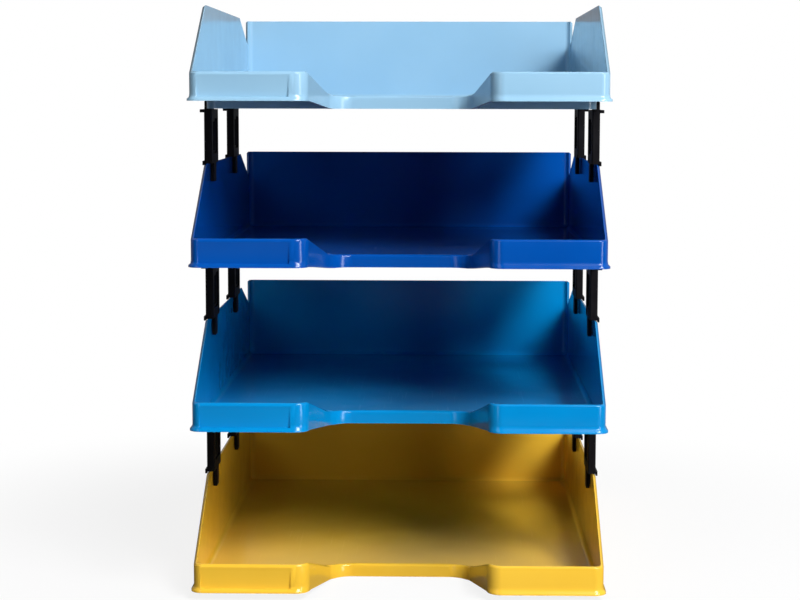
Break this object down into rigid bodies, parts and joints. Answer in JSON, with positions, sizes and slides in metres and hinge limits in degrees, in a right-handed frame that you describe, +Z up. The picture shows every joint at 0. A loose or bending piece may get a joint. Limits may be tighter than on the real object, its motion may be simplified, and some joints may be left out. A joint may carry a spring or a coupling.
{
  "type": "stack of letter trays",
  "caption": "Open moulded letter trays stacked one above another on short push-on risers, with low scooped fronts for taking out paper.",
  "frame": {"origin": "middle of the footprint, on the surface that the bottom tray stands on", "axes": "+Z up through the stack, -Y out of the open front, +X to the right seen from the front"},
  "size_m": [0.2574, 0.346, 0.365],
  "materials": {
    "saffron_plastic": "gloss moulded",
    "sky_plastic": "gloss moulded",
    "cobalt_plastic": "gloss moulded",
    "pale_blue_plastic": "gloss moulded",
    "black_plastic": "satin moulded"
  },
  "bodies": {
    "bottom_tray": {"bottom_tray": "saffron_plastic"},
    "second_tray": {"second_tray": "sky_plastic"},
    "third_tray": {"third_tray": "cobalt_plastic"},
    "top_tray": {"top_tray": "pale_blue_plastic"},
    "lower_riser_front_left": {"lower_riser_front_left": "black_plastic"},
    "lower_riser_front_right": {"lower_riser_front_right": "black_plastic"},
    "lower_riser_rear_left": {"lower_riser_rear_left": "black_plastic"},
    "lower_riser_rear_right": {"lower_riser_rear_right": "black_plastic"},
    "middle_riser_front_left": {"middle_riser_front_left": "black_plastic"},
    "middle_riser_front_right": {"middle_riser_front_right": "black_plastic"},
    "middle_riser_rear_left": {"middle_riser_rear_left": "black_plastic"},
    "middle_riser_rear_right": {"middle_riser_rear_right": "black_plastic"},
    "upper_riser_front_left": {"upper_riser_front_left": "black_plastic"},
    "upper_riser_front_right": {"upper_riser_front_right": "black_plastic"},
    "upper_riser_rear_left": {"upper_riser_rear_left": "black_plastic"},
    "upper_riser_rear_right": {"upper_riser_rear_right": "black_plastic"}
  },
  "joints": [
    {"name": "lower_riser_front_left_lift", "type": "slide", "parent": "bottom_tray", "child": "lower_riser_front_left", "axis": [0, 0, 1], "range_m": [0, 0.025]},
    {"name": "lower_riser_front_right_lift", "type": "slide", "parent": "bottom_tray", "child": "lower_riser_front_right", "axis": [0, 0, 1], "range_m": [0, 0.025]},
    {"name": "lower_riser_rear_left_lift", "type": "slide", "parent": "bottom_tray", "child": "lower_riser_rear_left", "axis": [0, 0, 1], "range_m": [0, 0.025]},
    {"name": "lower_riser_rear_right_lift", "type": "slide", "parent": "bottom_tray", "child": "lower_riser_rear_right", "axis": [0, 0, 1], "range_m": [0, 0.025]},
    {"name": "second_tray_lift", "type": "slide", "parent": "lower_riser_front_left", "child": "second_tray", "axis": [0, 0, 1], "range_m": [0, 0.04]},
    {"name": "middle_riser_front_left_lift", "type": "slide", "parent": "second_tray", "child": "middle_riser_front_left", "axis": [0, 0, 1], "range_m": [0, 0.025]},
    {"name": "middle_riser_front_right_lift", "type": "slide", "parent": "second_tray", "child": "middle_riser_front_right", "axis": [0, 0, 1], "range_m": [0, 0.025]},
    {"name": "middle_riser_rear_left_lift", "type": "slide", "parent": "second_tray", "child": "middle_riser_rear_left", "axis": [0, 0, 1], "range_m": [0, 0.025]},
    {"name": "middle_riser_rear_right_lift", "type": "slide", "parent": "second_tray", "child": "middle_riser_rear_right", "axis": [0, 0, 1], "range_m": [0, 0.025]},
    {"name": "third_tray_lift", "type": "slide", "parent": "middle_riser_front_left", "child": "third_tray", "axis": [0, 0, 1], "range_m": [0, 0.04]},
    {"name": "upper_riser_front_left_lift", "type": "slide", "parent": "third_tray", "child": "upper_riser_front_left", "axis": [0, 0, 1], "range_m": [0, 0.025]},
    {"name": "upper_riser_front_right_lift", "type": "slide", "parent": "third_tray", "child": "upper_riser_front_right", "axis": [0, 0, 1], "range_m": [0, 0.025]},
    {"name": "upper_riser_rear_left_lift", "type": "slide", "parent": "third_tray", "child": "upper_riser_rear_left", "axis": [0, 0, 1], "range_m": [0, 0.025]},
    {"name": "upper_riser_rear_right_lift", "type": "slide", "parent": "third_tray", "child": "upper_riser_rear_right", "axis": [0, 0, 1], "range_m": [0, 0.025]},
    {"name": "top_tray_lift", "type": "slide", "parent": "upper_riser_front_left", "child": "top_tray", "axis": [0, 0, 1], "range_m": [0, 0.04]}
  ],
  "couplings": [
    {"joint": "lower_riser_front_right_lift", "follows": "lower_riser_front_left_lift", "ratio": 1},
    {"joint": "lower_riser_rear_left_lift", "follows": "lower_riser_front_left_lift", "ratio": 1},
    {"joint": "lower_riser_rear_right_lift", "follows": "lower_riser_front_left_lift", "ratio": 1},
    {"joint": "middle_riser_front_right_lift", "follows": "middle_riser_front_left_lift", "ratio": 1},
    {"joint": "middle_riser_rear_left_lift", "follows": "middle_riser_front_left_lift", "ratio": 1},
    {"joint": "middle_riser_rear_right_lift", "follows": "middle_riser_front_left_lift", "ratio": 1},
    {"joint": "upper_riser_front_right_lift", "follows": "upper_riser_front_left_lift", "ratio": 1},
    {"joint": "upper_riser_rear_left_lift", "follows": "upper_riser_front_left_lift", "ratio": 1},
    {"joint": "upper_riser_rear_right_lift", "follows": "upper_riser_front_left_lift", "ratio": 1}
  ]
}
